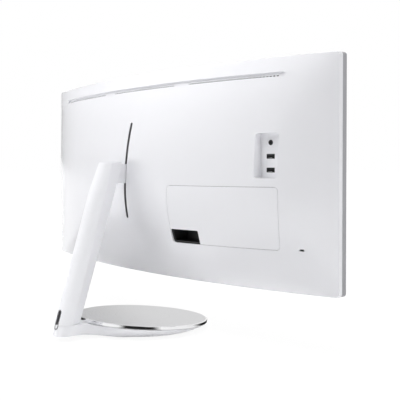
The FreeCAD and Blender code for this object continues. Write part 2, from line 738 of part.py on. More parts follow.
def on_tray(shape, x, z):
    """Stand a shape on the tray behind the screen, its foot trimmed to the tray's curve."""
    return at_panel(shape, x, z, TRAY_BACK).cut(behind(TRAY_BACK + 0.05))


def power_board():
    half = POWER_HALF - CAGE_WALL - 1.5
    low, high = POWER_BOTTOM + CAGE_WALL + 1.5, POWER_TOP - CAGE_WALL - 1.5
    lift = POWER_BOARD_LIFT
    board = box(-half, half, lift, lift + BOARD_THICKNESS, low, high)
    posts = [bar_y(3.0, -3.0, lift + BOARD_THICKNESS / 2, x, z)
             for x in (6 - half, half - 6) for z in (low + 6, high - 6)]
    return fused([board] + posts)


def power_cage():
    half, wall = POWER_HALF, CAGE_WALL
    cage = box(-half, half, -3.0, CAGE_DEPTH, POWER_BOTTOM, POWER_TOP)
    return cage.cut(box(wall - half, half - wall, -3.0, CAGE_DEPTH - wall,
                        POWER_BOTTOM + wall, POWER_TOP - wall))


def speaker(side):
    cabinet = box(-42, 42, -3.0, SPEAKER_DEPTH, -16, 16)
    cabinet = cabinet.makeFillet(3.0, [e for e in cabinet.Edges if e.BoundBox.YLength > 10])
    front, back = SPEAKER_DEPTH, SPEAKER_DEPTH + 2.5
    funnel = Part.makeCone(4, 11, 3.5, Vector(22, front - 0.5, 0), Vector(0, 1, 0))
    cone = bar_y(13, front - 1, back, 22, 0).cut(funnel)
    port = bar_y(4, front - 1, back, -24, 0).cut(bar_y(2.8, front - 1, back, -24, 0))
    return on_tray(fused([cabinet, cone, port]), side * SPEAKER_X, SPEAKER_Z)


save_display("power_board", on_tray(power_board(), POWER_X, 0))
save_display("power_cage", on_tray(power_cage(), POWER_X, 0))
save_display("speaker_left", speaker(-1))
save_display("speaker_right", speaker(1))


# ------------------------------------------------------------------ arm
def arm_line(z):
    """Ridge line, round radius, front half width and depth of the arm at this height."""
    above = max(0.0, (z - ARM_SHOULDER_HEIGHT) / (ARM_HEAD_HEIGHT - ARM_SHOULDER_HEIGHT))
    below = max(0.0, (ARM_SHOULDER_HEIGHT - z) / (ARM_SHOULDER_HEIGHT - ARM_FOOT_HEIGHT))
    ridge = ARM_TOP_Y + ARM_LEAN * (ARM_HEAD_HEIGHT - z)
    radius = ARM_RADIUS - above * (ARM_RADIUS - ARM_HEAD_RADIUS)
    half = ARM_FRONT_HALF - above * (ARM_FRONT_HALF - ARM_HEAD_FRONT_HALF)
    depth = (ARM_SHOULDER_DEPTH - above * (ARM_SHOULDER_DEPTH - ARM_HEAD_DEPTH)
             - below * (ARM_SHOULDER_DEPTH - ARM_FOOT_DEPTH))
    return ridge, radius, half, depth


def rounded_corner(before, corner, after, radius):
    """Where a round of this radius starts and ends on two lines that meet, and its arc."""
    to_before = (before - corner).normalize()
    to_after = (after - corner).normalize()
    half_angle = to_before.getAngle(to_after) / 2
    reach = radius / math.tan(half_angle)
    start, end = corner + to_before * reach, corner + to_after * reach
    middle = (to_before + to_after).normalize() * (radius / math.sin(half_angle) - radius)
    return start, Part.Arc(start, corner + middle, end).toShape(), end


def arm_section(z, inset=0.0):
    ridge, radius, half, depth = arm_line(z)
    radius -= inset
    half -= inset
    front = ridge - depth + inset
    left, right = Vector(-radius, ridge, z), Vector(radius, ridge, z)
    arc = Part.Arc(right, Vector(0, ridge + radius, z), left).toShape()
    a, b = Vector(-half, front, z), Vector(half, front, z)
    a_in, a_round, a_out = rounded_corner(left, a, b, ARM_CORNER)
    b_in, b_round, b_out = rounded_corner(a, b, right, ARM_CORNER)
    return Part.Wire([arc, Part.makeLine(left, a_in), a_round, Part.makeLine(a_out, b_in), b_round,
                      Part.makeLine(b_out, right)])


def arm_solid(low, high, inset=0.0):
    """The arm between two heights: straight up to its shoulder, then narrowing to its head."""
    heights = [low] + [h for h in (ARM_SHOULDER_HEIGHT,) if low < h < high] + [high]
    pieces = []
    for z0, z1 in zip(heights, heights[1:]):
        pieces.append(Part.makeLoft([arm_section(z0, inset), arm_section(z1, inset)], True, True))
    return fused(pieces) if len(pieces) > 1 else pieces[0]


CABLE_HOLE_LOW = 22.0
CABLE_HOLE_HIGH = 52.0
CABLE_HOLE_HALF = 3.8
GROMMET_WALL = 1.4


def cable_hole(grow=0.0):
    """An upright oval straight through the arm from rear to front."""
    half = CABLE_HOLE_HALF + grow
    low, high = CABLE_HOLE_LOW + CABLE_HOLE_HALF, CABLE_HOLE_HIGH - CABLE_HOLE_HALF
    ends = [bar_y(half, FAR / 4, FAR, 0, z) for z in (low, high)]
    return fused([box(-half, half, FAR / 4, FAR, low, high)] + ends)


def tongue_plate():
    """The steel blade from the hinge to deep inside the arm."""
    half = TONGUE_THICKNESS / 2
    z = DISPLAY_HEIGHT
    eye = bar_x(EYE_RADIUS - 0.5, -half, half, PIVOT_Y, z)
    ridge = arm_line(TONGUE_BOTTOM)[0]
    low = TONGUE_BOTTOM - GUSSET_RADIUS
    front = arm_line(low)[0] - arm_line(low)[3] + 0.3
    pts = [(PIVOT_Y, z + EYE_RADIUS - 0.5), (PIVOT_Y + 15, TONGUE_TOP), (ridge, TONGUE_TOP),
           (ridge, low), (front, low), (front - GUSSET_RADIUS, TONGUE_BOTTOM),
           (PIVOT_Y + 15, TONGUE_BOTTOM), (PIVOT_Y, z - EYE_RADIUS + 0.5)]
    wire = Part.makePolygon([Vector(-half, y, zz) for y, zz in pts + pts[:1]])
    plate = Part.Face(wire).extrude(Vector(TONGUE_THICKNESS, 0, 0))
    hollow = bar_x(GUSSET_RADIUS, -FAR, FAR, front - GUSSET_RADIUS, low)
    plate = plate.cut(hollow)
    plate = fused([eye, plate])
    return plate.cut(bar_x(PIN_RADIUS + PIN_CLEARANCE, -half, half, PIVOT_Y, z))


ARM_FIT = 0.15              # between the shell, the core and the grommet


def arm_core():
    """The cast spine inside the arm: it holds the tongue above and stands on the foot."""
    low = SEAM_HEIGHT + ARM_FIT
    core = arm_solid(low, ARM_HEAD_HEIGHT - ARM_WALL - ARM_FIT, ARM_WALL + ARM_FIT)
    core = core.cut(tongue_plate())
    lighten = []
    start = CABLE_HOLE_HIGH + 14
    count = 4
    pitch = (ARM_SHOULDER_HEIGHT - start - 3) / count
    for i in range(count):
        z0 = start + i * pitch
        z1 = z0 + pitch - 8
        y0 = arm_line(z0)[0]
        lighten.append(box(-FAR, FAR, y0 - 200, y0 + 200, z0, z1).cut(
            box(-3, 3, y0 - 200, y0 + 200, z0, z1)))
    return cut(core, [cable_hole(GROMMET_WALL + ARM_FIT)] + lighten)


def arm_shell():
    shell = arm_solid(SEAM_HEIGHT + ARM_FIT, ARM_HEAD_HEIGHT)
    hollow = arm_solid(SEAM_HEIGHT - 1, ARM_HEAD_HEIGHT - ARM_WALL, ARM_WALL)
    return cut(shell, [hollow, tongue_plate(), cable_hole(GROMMET_WALL + ARM_FIT)])


def cable_grommet():
    ring = cable_hole(GROMMET_WALL).cut(cable_hole())
    return ring.common(arm_solid(ARM_FOOT_HEIGHT, ARM_SHOULDER_HEIGHT, 0.3))


save("arm_shell", arm_shell())
save("arm_core", arm_core())
save("tongue_plate", tongue_plate())
save("cable_grommet", cable_grommet())

# ------------------------------------------------------------------ base
DISC_PLACE = Placement(Vector(0, DISC_Y, DISC_Z), Rotation(Vector(1, 0, 0), DISC_TILT))
PAD_RADIUS = 9.0
PAD_CIRCLE = 80.0
PAD_COUNT = 6
PAD_Y = DISC_Y - 10.0
BODY_RADIUS = DISC_RADIUS - 1.5
BOWL_SLOPE = 27.0           # width of the bowl's sloping wall
HEEL_SLOPE = 7.0            # and of the foot's wall, under the arm
ROOT_BLEND = 46.0           # how widely the foot runs into the bowl
FLOOR_RADIUS = BODY_RADIUS - BOWL_SLOPE


def tilted(shape):
    moved = shape.copy()
    moved.Placement = DISC_PLACE.multiply(shape.Placement)
    return moved


def base_disc():
    disc = Part.makeCylinder(DISC_RADIUS - RIM_WALL, DISC_THICKNESS, Vector(0, 0, -DISC_THICKNESS))
    return tilted(disc)


def base_rim():
    ring = Part.makeCylinder(DISC_RADIUS, RIM_HEIGHT, Vector(0, 0, -RIM_HEIGHT))
    ring = ring.cut(Part.makeCylinder(DISC_RADIUS - RIM_WALL, RIM_HEIGHT, Vector(0, 0, -RIM_HEIGHT)))
    outer = [e for e in ring.Edges if abs(e.BoundBox.XMax - DISC_RADIUS) < 0.01
             and e.BoundBox.XLength > DISC_RADIUS]
    return tilted(ring.makeFillet(0.9, outer))


def ease(value, start, end):
    """0 before start, 1 after end, smooth between."""
    share = min(max((value - start) / (end - start), 0.0), 1.0)
    return share * share * (3 - 2 * share)


def body_top(y):
    """Top of the body: the plane under the rim, rising to the arm's joint behind the disc."""
    slope = math.radians(DISC_TILT)
    plane = DISC_Z - (RIM_HEIGHT + 0.1) / math.cos(slope) + (y - DISC_Y) * math.tan(slope)
    disc_rear = DISC_Y + DISC_RADIUS
    rise = ease(y, disc_rear - 4, arm_line(SEAM_HEIGHT)[0] - ARM_FOOT_DEPTH)
    return plane + (SEAM_HEIGHT - plane) * rise


def body_floor(y):
    """Just below the tops of the pads, where the body is cut flat, then up to the arm's foot."""
    low = PAD_HEIGHT - 0.25
    return low + (ARM_FOOT_HEIGHT - low) * ease(y, PAD_Y + PAD_CIRCLE, FOOT_REAR_Y)


def body_underside(x, y):
    """The bowl's wall and the foot's in one smooth sweep, from the top edge to the floor."""
    in_bowl = BODY_RADIUS - math.hypot(x, y - DISC_Y)
    in_foot = ARM_RADIUS - abs(x) if y > DISC_Y else -FAR
    overlap = max(ROOT_BLEND - abs(in_bowl - in_foot), 0.0) / ROOT_BLEND
    inside = max(in_bowl, in_foot) + overlap * overlap * ROOT_BLEND / 4
    towards_arm = ease(y, DISC_Y + 0.7 * DISC_RADIUS, DISC_Y + 1.25 * DISC_RADIUS)
    slope = BOWL_SLOPE + (HEEL_SLOPE - BOWL_SLOPE) * towards_arm
    share = inside / slope
    depth = 2.2 * share if share < 0 else 1 - (1 - min(share, 1.0)) ** 2.2
    return body_top(y) - (body_top(y) - body_floor(y)) * depth


def body():
    """Bowl and foot: what lies over the underside and under the top."""
    near, far = DISC_Y - BODY_RADIUS - 8, FOOT_REAR_Y + 6
    side = BODY_RADIUS + 8
    columns, rows = 48, 60
    grid = []
    for i in range(columns + 1):
        x = side * (2 * i / columns - 1)
        grid.append([Vector(x, y, body_underside(x, y)) for y in
                     [near + (far - near) * j / rows for j in range(rows + 1)]])
    surface = Part.BSplineSurface()
    surface.interpolate(grid)
    over = surface.toShape().extrude(Vector(0, 0, FAR))
    steps = [near - 1] + [near + (far - near) * j / 24 for j in range(25)] + [far + 1]
    ridge_line = Part.BSplineCurve()
    ridge_line.interpolate([Vector(-FAR, y, body_top(y)) for y in steps])
    top = ridge_line.toShape().extrude(Vector(2 * FAR, 0, 0)).extrude(Vector(0, 0, -FAR))
    return whole(over.common(top).common(box(-FAR, FAR, -FAR, FAR, PAD_HEIGHT, SEAM_HEIGHT)))


BALLAST_RADIUS = 84.0
BALLAST_THICKNESS = 3.8


def rim_room():
    """The space that the disc and its rim take, down to the body under them."""
    return tilted(Part.makeCylinder(DISC_RADIUS + 0.3, FAR, Vector(0, 0, -RIM_HEIGHT - 0.05)))


BASE_WALL = 3.5


def base_cavity():
    """The hollow under the base, open to the desk, around the posts of the pads."""
    roof = Part.makeCylinder(FLOOR_RADIUS - BASE_WALL, FAR, Vector(0, 0, -FAR))
    hollow = tilted(roof.translated(Vector(0, 0, -RIM_HEIGHT - BALLAST_THICKNESS - BASE_WALL)))
    posts = [bar_z(PAD_RADIUS + 1.5, -FAR, FAR, x, y) for x, y in pad_places()]
    return cut(hollow, posts)


def pad_places():
    for index in range(PAD_COUNT):
        angle = math.radians(360.0 * (index + 0.5) / PAD_COUNT)
        yield PAD_CIRCLE * math.sin(angle), PAD_Y + PAD_CIRCLE * math.cos(angle)


def base_shell():
    heel = arm_solid(ARM_FOOT_HEIGHT, SEAM_HEIGHT)
    shell = cut(fused([body(), heel]), [rim_room()])
    spigot = Part.makeCylinder(DISC_RADIUS - RIM_WALL - 0.3, RIM_HEIGHT - DISC_THICKNESS,
                               Vector(0, 0, -RIM_HEIGHT - 0.05))
    seat = Part.makeCylinder(BALLAST_RADIUS + 0.3, FAR,
                             Vector(0, 0, -RIM_HEIGHT - BALLAST_THICKNESS))
    shell = fused([shell, tilted(spigot)])
    return cut(shell, [tilted(seat), base_cavity(), cable_hole(GROMMET_WALL + ARM_FIT)])


def ballast_plate():
    return tilted(Part.makeCylinder(BALLAST_RADIUS, BALLAST_THICKNESS,
                                    Vector(0, 0, -RIM_HEIGHT - BALLAST_THICKNESS)))


save("base_disc", base_disc())
save("base_rim", base_rim())
save("base_shell", base_shell())
save("ballast_plate", ballast_plate())
for index, (x, y) in enumerate(pad_places()):
    save("desk_pad_" + str(index + 1), bar_z(PAD_RADIUS, 0, PAD_HEIGHT, x, y))
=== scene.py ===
import json
import math

import bmesh
import bpy
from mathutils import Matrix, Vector
from mathutils.bvhtree import BVHTree


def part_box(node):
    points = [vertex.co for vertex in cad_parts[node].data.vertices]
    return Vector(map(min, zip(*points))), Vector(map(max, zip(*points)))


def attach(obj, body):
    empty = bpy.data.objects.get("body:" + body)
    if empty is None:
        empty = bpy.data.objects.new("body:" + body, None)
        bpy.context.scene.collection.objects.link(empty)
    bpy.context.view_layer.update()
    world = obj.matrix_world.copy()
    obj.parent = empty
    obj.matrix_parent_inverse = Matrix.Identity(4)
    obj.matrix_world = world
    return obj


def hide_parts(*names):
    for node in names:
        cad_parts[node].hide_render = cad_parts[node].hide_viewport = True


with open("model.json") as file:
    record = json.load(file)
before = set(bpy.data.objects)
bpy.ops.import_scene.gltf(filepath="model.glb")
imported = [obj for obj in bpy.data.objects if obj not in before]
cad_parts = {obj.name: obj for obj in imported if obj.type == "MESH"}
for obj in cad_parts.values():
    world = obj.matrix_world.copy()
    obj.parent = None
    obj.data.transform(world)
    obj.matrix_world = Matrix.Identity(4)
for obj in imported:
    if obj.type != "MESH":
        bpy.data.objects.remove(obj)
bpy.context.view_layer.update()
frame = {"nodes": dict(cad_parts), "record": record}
nodes = frame["nodes"]
bpy.context.scene.view_settings.view_transform = "Standard"


# ---------------------------------------------------------------- camera and light
def aim(thing, place, towards):
    thing.location = place
    thing.rotation_euler = (Vector(towards) - Vector(place)).to_track_quat("-Z", "Y").to_euler()


CAMERA_PLACE = Vector((-1.06406, 0.75786, 0.29749))
CAMERA_AHEAD = Vector((0.75124, -0.65979, -0.01790))
SENSOR_WIDTH = 36.0
LENS = 63.834
LENS_SHIFT_UP = -0.0514
FILL = 0.08                     # the world's light on matt surfaces
SEEN_WHITE = 1.0                # the world seen straight, mirrored or through glass


def make_camera():
    camera = bpy.data.objects.new("camera", bpy.data.cameras.new("camera"))
    bpy.context.collection.objects.link(camera)
    aim(camera, CAMERA_PLACE, CAMERA_PLACE + CAMERA_AHEAD)
    camera.data.sensor_width = SENSOR_WIDTH
    camera.data.lens = LENS
    camera.data.shift_y = LENS_SHIFT_UP
    bpy.context.scene.camera = camera


def soft_box(name, place, towards, width, height, watts):
    """A lamp that lights the pieces but isn't mirrored in them."""
    lamp = bpy.data.objects.new(name, bpy.data.lights.new(name, "AREA"))
    bpy.context.collection.objects.link(lamp)
    aim(lamp, place, towards)
    lamp.data.shape = "RECTANGLE"
    lamp.data.size = width
    lamp.data.size_y = height
    lamp.data.energy = watts
    lamp.visible_glossy = False


def make_world():
    """White for whoever looks, glass and metal included; a softer fill for everything else."""
    world = bpy.data.worlds.new("studio")
    bpy.context.scene.world = world
    world.use_nodes = True
    tree = world.node_tree
    back = tree.nodes["Background"]
    path = tree.nodes.new("ShaderNodeLightPath")
    seen = tree.nodes.new("ShaderNodeMath")
    seen.operation = "MAXIMUM"
    tree.links.new(path.outputs["Is Camera Ray"], seen.inputs[0])
    tree.links.new(path.outputs["Is Transmission Ray"], seen.inputs[1])
    seen_or_mirrored = tree.nodes.new("ShaderNodeMath")
    seen_or_mirrored.operation = "MAXIMUM"
    tree.links.new(seen.outputs[0], seen_or_mirrored.inputs[0])
    tree.links.new(path.outputs["Is Glossy Ray"], seen_or_mirrored.inputs[1])
    level = tree.nodes.new("ShaderNodeMix")
    level.data_type = "FLOAT"
    tree.links.new(seen_or_mirrored.outputs[0], level.inputs["Factor"])
    level.inputs[2].default_value = FILL
    level.inputs[3].default_value = SEEN_WHITE
    tree.links.new(level.outputs[0], back.inputs["Strength"])
    back.inputs["Color"].default_value = (1, 1, 1, 1)


make_camera()
make_world()
soft_box("top", (0.1, 0.5, 2.6), (0, 0.1, 0.0), 2.4, 2.4, 79)
soft_box("shoulder", (1.5, 0.7, 2.2), (0.1, 0.1, 0.1), 2.0, 2.0, 18)
soft_box("flank", (-2.6, -0.3, 0.5), (0, 0.15, 0.2), 1.0, 1.0, 15)
soft_box("low", (1.2, 2.2, 0.12), (0.1, 0.1, 0.15), 1.6, 0.2, 11)
soft_box("front", (-0.6, -2.4, 1.2), (0, 0, 0.3), 1.6, 1.6, 24)


# ---------------------------------------------------------------- finishes
class Value:
    """A shader value that can be used in sums."""

    def __init__(self, finish, socket):
        self.finish = finish
        self.socket = socket

    def maths(self, operation, *values):
        made = self.finish.node("Math", {"operation": operation}, dict(enumerate(values)))
        return Value(self.finish, made.outputs[0])

    def __add__(self, other):
        return self.maths("ADD", self, other)

    def __radd__(self, other):
        return self.maths("ADD", other, self)

    def __sub__(self, other):
        return self.maths("SUBTRACT", self, other)

    def __rsub__(self, other):
        return self.maths("SUBTRACT", other, self)

    def __mul__(self, other):
        return self.maths("MULTIPLY", self, other)

    def __rmul__(self, other):
        return self.maths("MULTIPLY", other, self)

    def __truediv__(self, other):
        return self.maths("DIVIDE", self, other)

    def __abs__(self):
        return self.maths("ABSOLUTE", self)

    def above(self, limit):
        return self.maths("GREATER_THAN", self, limit)

    def power(self, exponent):
        return self.maths("POWER", self, exponent)

    def clamped(self):
        made = self.finish.node("Clamp", {}, {"Value": self})
        return Value(self.finish, made.outputs[0])


class Finish:
    """A material, and the one way in which its nodes are made."""

    def __init__(self, name, **sockets):
        self.material = bpy.data.materials.new(name)
        self.material.use_nodes = True
        self.tree = self.material.node_tree
        self.shader = self.tree.nodes["Principled BSDF"]
        for socket, value in sockets.items():
            self.shader.inputs[socket.replace("_", " ")].default_value = value
        self.place = self.node("TexCoord").outputs["Object"]

    def node(self, kind, settings=None, inputs=None):
        made = self.tree.nodes.new("ShaderNode" + kind)
        for key, value in (settings or {}).items():
            if key == "stops":
                ramp = made.color_ramp.elements
                while len(ramp) < len(value):
                    ramp.new(0.5)
                for stop, (position, colour) in zip(ramp, value):
                    stop.position = position
                    stop.color = colour
            else:
                setattr(made, key, value)
        for key, value in (inputs or {}).items():
            self.feed(made.inputs[key], value)
        return made

    def feed(self, socket, value):
        if isinstance(value, Value):
            value = value.socket
        if isinstance(value, bpy.types.NodeSocket):
            self.tree.links.new(value, socket)
        else:
            socket.default_value = value

    def axes(self):
        parts = self.node("SeparateXYZ", {}, {"Vector": self.place}).outputs
        return [Value(self, part) for part in parts]

    def noise(self, scale, detail=2.0, stretch=(1, 1, 1)):
        place = self.node("Mapping", {}, {"Vector": self.place, "Scale": stretch}).outputs[0]
        made = self.node("TexNoise", {}, {"Vector": place, "Scale": scale, "Detail": detail})
        return Value(self, made.outputs["Fac"])

    def mix(self, factor, first, second):
        made = self.node("Mix", {"data_type": "RGBA"}, {0: factor, 6: first, 7: second})
        return made.outputs[2]

    def bump(self, height, distance, strength=1.0):
        made = self.node("Bump", {}, {"Height": height, "Distance": distance, "Strength": strength})
        self.feed(self.shader.inputs["Normal"], made.outputs[0])

    def set(self, **values):
        for socket, value in values.items():
            self.feed(self.shader.inputs[socket.replace("_", " ")], value)


def shade(colour, level):
    return tuple(part * level for part in colour[:3]) + (1,)


def moulded(name, colour, rough, spread=0.06, grain=1600.0, depth=0.00002, **sockets):
    """Injection-moulded plastic: faint clouding in its shine and a fine skin."""
    finish = Finish(name, **sockets)
    cloud = finish.noise(9.0, 3.0)
    skin = finish.noise(grain, 2.0)
    finish.set(Base_Color=finish.mix(cloud, shade(colour, 0.985), shade(colour, 1.0)),
               Roughness=rough + (cloud - 0.5) * spread)
    finish.bump(skin, depth, 0.5)
    return finish.material


def painted(name, colour, rough):
    """Sprayed metal: a soft orange peel."""
    finish = Finish(name, Coat_Weight=0.15, Coat_Roughness=0.25)
    peel = finish.noise(420.0, 1.0)
    cloud = finish.noise(14.0, 3.0)
    finish.set(Base_Color=finish.mix(cloud, shade(colour, 0.985), shade(colour, 1.0)),
               Roughness=rough + (cloud - 0.5) * 0.05)
    finish.bump(peel, 0.00003, 0.4)
    return finish.material


def turned_metal(name, colour, rough, centre, ring):
    """Metal spun on a lathe: fine rings round an upright axis through centre."""
    finish = Finish(name, Metallic=1.0)
    x, y, z = finish.axes()
    across, along = x - centre[0], y - centre[1]
    radius = (across * across + along * along).power(0.5)
    rings = finish.node("TexNoise", {"noise_dimensions": "1D"},
                        {"W": radius * ring, "Scale": 1.0, "Detail": 3.0})
    rings = Value(finish, rings.outputs[0])
    finish.set(Base_Color=finish.mix(rings, shade(colour, 0.9), shade(colour, 1.06)),
               Roughness=rough + (rings - 0.5) * 0.12)
    finish.bump(rings, 0.00002, 0.35)
    return finish.material


def sheet_metal(name, colour, rough, stretch=(1, 1, 30)):
    """Rolled or cast metal: fine lines across the stretched axis, and a cloudy tone."""
    finish = Finish(name, Metallic=1.0)
    lines = finish.noise(300.0, 3.0, stretch)
    cloud = finish.noise(30.0, 3.0)
    finish.set(Base_Color=finish.mix(cloud, shade(colour, 0.86), shade(colour, 1.05)),
               Roughness=rough + (lines - 0.5) * 0.18)
    finish.bump(lines, 0.00001, 0.3)
    return finish.material


def circuit_board(name):
    """Green solder mask over paler tracks."""
    finish = Finish(name, Coat_Weight=0.3, Coat_Roughness=0.2)
    cells = finish.node("TexVoronoi", {"distance": "CHEBYCHEV", "feature": "F1"},
                        {"Vector": finish.place, "Scale": 260.0})
    tracks = Value(finish, cells.outputs["Distance"]).above(0.42)
    finish.set(Base_Color=finish.mix(tracks, (0.012, 0.10, 0.035, 1), (0.03, 0.19, 0.07, 1)),
               Roughness=0.35 + tracks * 0.1)
    return finish.material


SCREEN_BORDER = 0.0085          # unlit edge of the screen


def screen_glass(name):
    """Nearly black when off, with a blacker border round the lit area."""
    finish = Finish(name, Specular_IOR_Level=0.4)
    low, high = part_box("lcd_panel")
    x, y, z = finish.axes()
    middle = (low.z + high.z) / 2
    side = ((high.x - low.x) / 2 - abs(x)) / SCREEN_BORDER
    end = ((high.z - low.z) / 2 - abs(z - middle)) / SCREEN_BORDER
    inside = side.above(1.0) * end.above(1.0)
    speck = finish.noise(5200.0, 1.0)
    finish.set(Base_Color=finish.mix(inside, (0.003, 0.003, 0.003, 1), (0.010, 0.010, 0.012, 1)),
               Roughness=0.26 + (speck - 0.5) * 0.08)
    finish.bump(speck, 0.000008, 0.4)
    return finish.material


WHITE = (0.835, 0.837, 0.868)
finishes = {
    "white_plastic": moulded("glossy_white", WHITE, 0.20, 0.05, 500.0, 0.00001,
                             Coat_Weight=0.35, Coat_Roughness=0.12),
    "white_metal": painted("satin_white_paint", (0.86, 0.862, 0.89), 0.42),
    "silver_frame": moulded("silver_satin", (0.34, 0.34, 0.36), 0.34, 0.06, 2200.0, Metallic=0.55),
    "black_plastic": moulded("black_texture", (0.018, 0.018, 0.019), 0.45, 0.1, 2600.0, 0.00004),
    "grey_plastic": moulded("grey_satin", (0.20, 0.20, 0.21), 0.40),
    "screen": screen_glass("dark_screen"),
    "clear_sheet": moulded("optical_sheet", (0.80, 0.82, 0.85), 0.3),
    "steel": sheet_metal("plated_steel", (0.56, 0.57, 0.58), 0.34),
    "cast_alloy": sheet_metal("cast_alloy", (0.60, 0.60, 0.61), 0.5, (1, 1, 1)),
    "board": circuit_board("solder_mask"),
    "bright_steel": sheet_metal("ground_steel", (0.72, 0.72, 0.73), 0.14, (1, 1, 1)),
    "bush_brass": sheet_metal("bush_brass", (0.76, 0.58, 0.27), 0.28, (1, 1, 1)),
    "socket_shell": sheet_metal("tinned_shell", (0.55, 0.55, 0.56), 0.3),
    # its near-black also fills the rear air holes, as painted shade for the dark inside them
    "dust_mesh": moulded("dust_mesh", (0.004, 0.004, 0.004), 0.9, Specular_IOR_Level=0.1),
    "rubber": moulded("black_rubber", (0.03, 0.03, 0.03), 0.8, 0.1, 900.0, 0.0001),
}
disc_low, disc_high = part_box("base_disc")
disc_centre = (disc_low + disc_high) / 2
rim_low, rim_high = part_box("base_rim")
disc_radius = (rim_high.x - rim_low.x) / 2
finishes["satin_disc"] = turned_metal("spun_disc", (0.60, 0.60, 0.61), 0.30, disc_centre, 2600.0)
finishes["chrome_rim"] = turned_metal("polished_rim", (0.84, 0.84, 0.85), 0.09, disc_centre, 900.0)

for part in frame["record"]["subparts"]:
    shown = nodes[part["node"]]
    for material_slot in shown.material_slots:
        material_slot.material = finishes[part["material_slot"]]
# The bay behind the notch is black inside. The side ports' metal shells are made black plastic too:
# painted shade for the dark deep inside them.
for dark in ("port_bay", "usb_a_side_lower", "usb_a_side_upper"):
    for material_slot in nodes[dark].material_slots:
        material_slot.material = finishes["black_plastic"]


# ---------------------------------------------------------------- pieces
def add_piece(name, mesh, body, slot, smooth_below=50.0, finish=None):
    """Puts a finished mesh in the scene, in the slot's finish, on the body that carries it."""
    bmesh.ops.recalc_face_normals(mesh, faces=mesh.faces)
    for face in mesh.faces:
        face.smooth = True
    for edge in mesh.edges:
        edge.smooth = not edge.is_manifold or edge.calc_face_angle() < math.radians(smooth_below)
    data = bpy.data.meshes.new(name)
    mesh.to_mesh(data)
    mesh.free()
    made = bpy.data.objects.new(name, data)
    bpy.context.collection.objects.link(made)
    data.materials.append(finishes[finish or slot])
    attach(made, body)
    return made


def ease(value, start, end):
    """0 before start, 1 after end, smooth between."""
    share = min(max((value - start) / (end - start), 0.0), 1.0)
    return share * share * (3 - 2 * share)


DISC_THICKNESS = 0.002
RIM_UNDER = 0.0035              # the rim's middle down to just under its lower edge
BODY_DROP = 0.0002              # and a hair more, so that the body stays clear of it
SEAM_HEIGHT = 0.0277            # joint between the arm and the foot
FOOT_HALF = 0.020
BODY_MARGIN = 0.0015            # how far the bowl's edge stays inside the rim
BOWL_WALL = 0.027               # width of the bowl's sloping wall
FOOT_WALL = 0.005               # of the foot's, on its way to the arm
HEEL_WALL = 0.0012              # and of the heel's, under the arm
ROOT_ROUND = 0.042              # round between bowl and foot, seen from above
ARM_LEAN = 0.3067               # how far the arm runs back for each metre down
HEEL_LIFT = 0.0095              # the desk to the rear of the foot
PAD_HEIGHT = 0.002
WALL_POWER = 2.2                # 1 makes a straight slope, more a fuller bowl
BOWL_STEPS = 56
ROOT_STEPS = 14
FOOT_STEPS = 4
HEEL_STEPS = 16
# Shares of the way down the wall, closer together near its two ends.
WALL_LEVELS = (0.0, 0.03, 0.08, 0.16, 0.26, 0.38, 0.5, 0.62, 0.73, 0.82, 0.89, 0.94, 0.975, 1.0)
heel_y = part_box("arm_shell")[1].y - FOOT_HALF


def base_outline():
    """One side of the base from above, from its front to the rear of the foot."""
    centre, radius = disc_centre.y, disc_radius - BODY_MARGIN
    root_y = centre + math.sqrt((radius + ROOT_ROUND) ** 2 - (FOOT_HALF + ROOT_ROUND) ** 2)
    turn = math.atan2(FOOT_HALF + ROOT_ROUND, root_y - centre)
    outline = []
    for i in range(BOWL_STEPS + 1):
        angle = math.pi - (math.pi - turn) * i / BOWL_STEPS
        outline.append((radius * math.sin(angle), centre + radius * math.cos(angle)))
    for i in range(1, ROOT_STEPS + 1):
        angle = turn * (1 - i / ROOT_STEPS) + math.pi / 2 * (i / ROOT_STEPS)
        outline.append((FOOT_HALF + ROOT_ROUND - ROOT_ROUND * math.sin(angle),
                        root_y - ROOT_ROUND * math.cos(angle)))
    for i in range(1, FOOT_STEPS):
        outline.append((FOOT_HALF, root_y + (heel_y - root_y) * i / FOOT_STEPS))
    for i in range(HEEL_STEPS + 1):
        angle = math.pi / 2 * i / HEEL_STEPS
        outline.append((FOOT_HALF * math.cos(angle), heel_y + FOOT_HALF * math.sin(angle)))
    return outline


